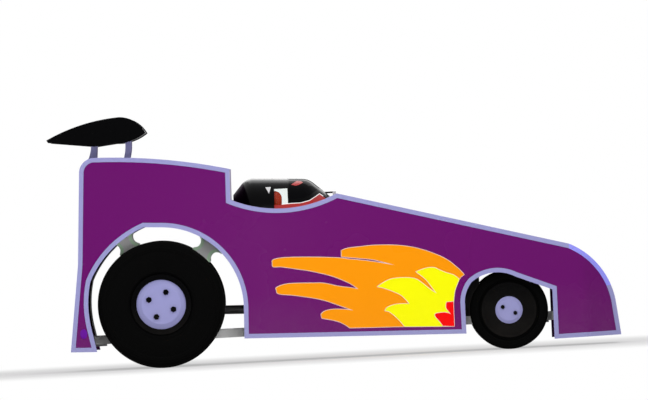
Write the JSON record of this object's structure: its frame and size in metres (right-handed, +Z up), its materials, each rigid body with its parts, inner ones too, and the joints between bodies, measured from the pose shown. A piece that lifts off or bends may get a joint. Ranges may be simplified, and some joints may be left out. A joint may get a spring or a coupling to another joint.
{
  "type": "drag racing car",
  "caption": "Wedge-nosed drag racing car with a full-width body, flat rear deck, strut-mounted wing, hinged canopy, wide slick rear tyres and narrow steered front wheels.",
  "frame": {"origin": "on the floor at the middle of the length, on the centre plane", "axes": "+X towards the nose, +Z up, +Y to the car's left"},
  "size_m": [4.0639, 1.8148, 1.821],
  "materials": {
    "body_purple": "gloss",
    "moulding_lavender": "gloss",
    "moulding_blue": "gloss",
    "black_gloss": "gloss",
    "sheet_aluminium": "satin",
    "frame_paint": "satin",
    "axle_steel": "satin",
    "bright_steel": "polished",
    "engine_iron": "matt",
    "hanger_grey": "satin",
    "hanger_green": "satin",
    "tyre": "matt",
    "disc_lavender": "gloss",
    "smoked_pane": "gloss",
    "clear_pane": "gloss",
    "red_trim": "satin",
    "red_paint": "satin",
    "orange_pad": "satin",
    "black_plastic": "matt"
  },
  "bodies": {
    "chassis": {"rear_quarters": "body_purple", "side_panels": "body_purple", "nose_sides": "body_purple", "tail_panel": "body_purple", "rear_deck": "body_purple", "cockpit_deck": "body_purple", "hood": "body_purple", "nose_cover": "body_purple", "edge_trims": "moulding_lavender", "nose_band": "moulding_blue", "chassis_rails": "hanger_grey", "floor_pans": "sheet_aluminium", "bulkheads": "sheet_aluminium", "cockpit_panels": "sheet_aluminium", "arch_liners": "black_plastic", "rear_axle": "axle_steel", "driveshaft": "axle_steel", "axle_hangers": "hanger_grey", "hanger_edges": "hanger_green", "engine_block": "engine_iron", "motor_plates": "sheet_aluminium", "front_axle": "axle_steel", "steering_rack": "sheet_aluminium", "wing": "black_gloss", "wing_struts": "moulding_lavender", "canopy_hinge": "bright_steel", "cockpit_rim": "red_paint", "seat": "red_trim", "roll_hoop": "frame_paint", "dash_panel": "red_paint", "pedals": "sheet_aluminium", "service_points": "sheet_aluminium", "head_pads": "orange_pad"},
    "canopy": {"canopy_frame": "black_gloss", "canopy_glass": "smoked_pane", "side_windows": "clear_pane"},
    "steering_wheel": {"steering_wheel": "black_plastic"},
    "track_rod": {"track_rod": "bright_steel"},
    "knuckle_left": {"knuckle_left": "axle_steel"},
    "knuckle_right": {"knuckle_right": "axle_steel"},
    "rear_wheel_left": {"rear_tyre_left": "tyre", "rear_rim_left": "black_gloss", "rear_disc_left": "disc_lavender"},
    "rear_wheel_right": {"rear_tyre_right": "tyre", "rear_rim_right": "black_gloss", "rear_disc_right": "disc_lavender"},
    "front_wheel_left": {"front_tyre_left": "tyre", "front_rim_left": "black_gloss", "front_disc_left": "disc_lavender"},
    "front_wheel_right": {"front_tyre_right": "tyre", "front_rim_right": "black_gloss", "front_disc_right": "disc_lavender"}
  },
  "joints": [
    {"name": "rear_wheel_left_spin", "type": "hinge", "parent": "chassis", "child": "rear_wheel_left", "pos_m": [-1.268, 0.635, 0.457], "axis": [0, 1, 0], "continuous": true},
    {"name": "rear_wheel_right_spin", "type": "hinge", "parent": "chassis", "child": "rear_wheel_right", "pos_m": [-1.268, -0.635, 0.457], "axis": [0, 1, 0], "continuous": true},
    {"name": "knuckle_left_steer", "type": "hinge", "parent": "chassis", "child": "knuckle_left", "pos_m": [1.232, 0.5, 0.282], "axis": [0, 0, 1], "range_deg": [-15, 15]},
    {"name": "front_wheel_left_spin", "type": "hinge", "parent": "knuckle_left", "child": "front_wheel_left", "pos_m": [1.232, 0.59, 0.282], "axis": [0, 1, 0], "continuous": true},
    {"name": "knuckle_right_steer", "type": "hinge", "parent": "chassis", "child": "knuckle_right", "pos_m": [1.232, -0.5, 0.282], "axis": [0, 0, 1], "range_deg": [-15, 15]},
    {"name": "front_wheel_right_spin", "type": "hinge", "parent": "knuckle_right", "child": "front_wheel_right", "pos_m": [1.232, -0.59, 0.282], "axis": [0, 1, 0], "continuous": true},
    {"name": "track_rod_slide", "type": "slide", "parent": "chassis", "child": "track_rod", "axis": [0, 1, 0], "range_m": [-0.0286, 0.0286]},
    {"name": "steering_wheel_turn", "type": "hinge", "parent": "chassis", "child": "steering_wheel", "pos_m": [-0.208, 0, 1], "axis": [-0.9397, 0, 0.342], "range_deg": [-90.5, 90.5]},
    {"name": "canopy_open", "type": "hinge", "parent": "chassis", "child": "canopy", "pos_m": [0.02, 0, 1.194], "axis": [0, 1, 0], "range_deg": [0, 65]}
  ],
  "couplings": [
    {"joint": "knuckle_right_steer", "follows": "knuckle_left_steer", "ratio": 1},
    {"joint": "track_rod_slide", "follows": "knuckle_left_steer", "m_per_rad": -0.10875},
    {"joint": "steering_wheel_turn", "follows": "knuckle_left_steer", "ratio": 6}
  ]
}
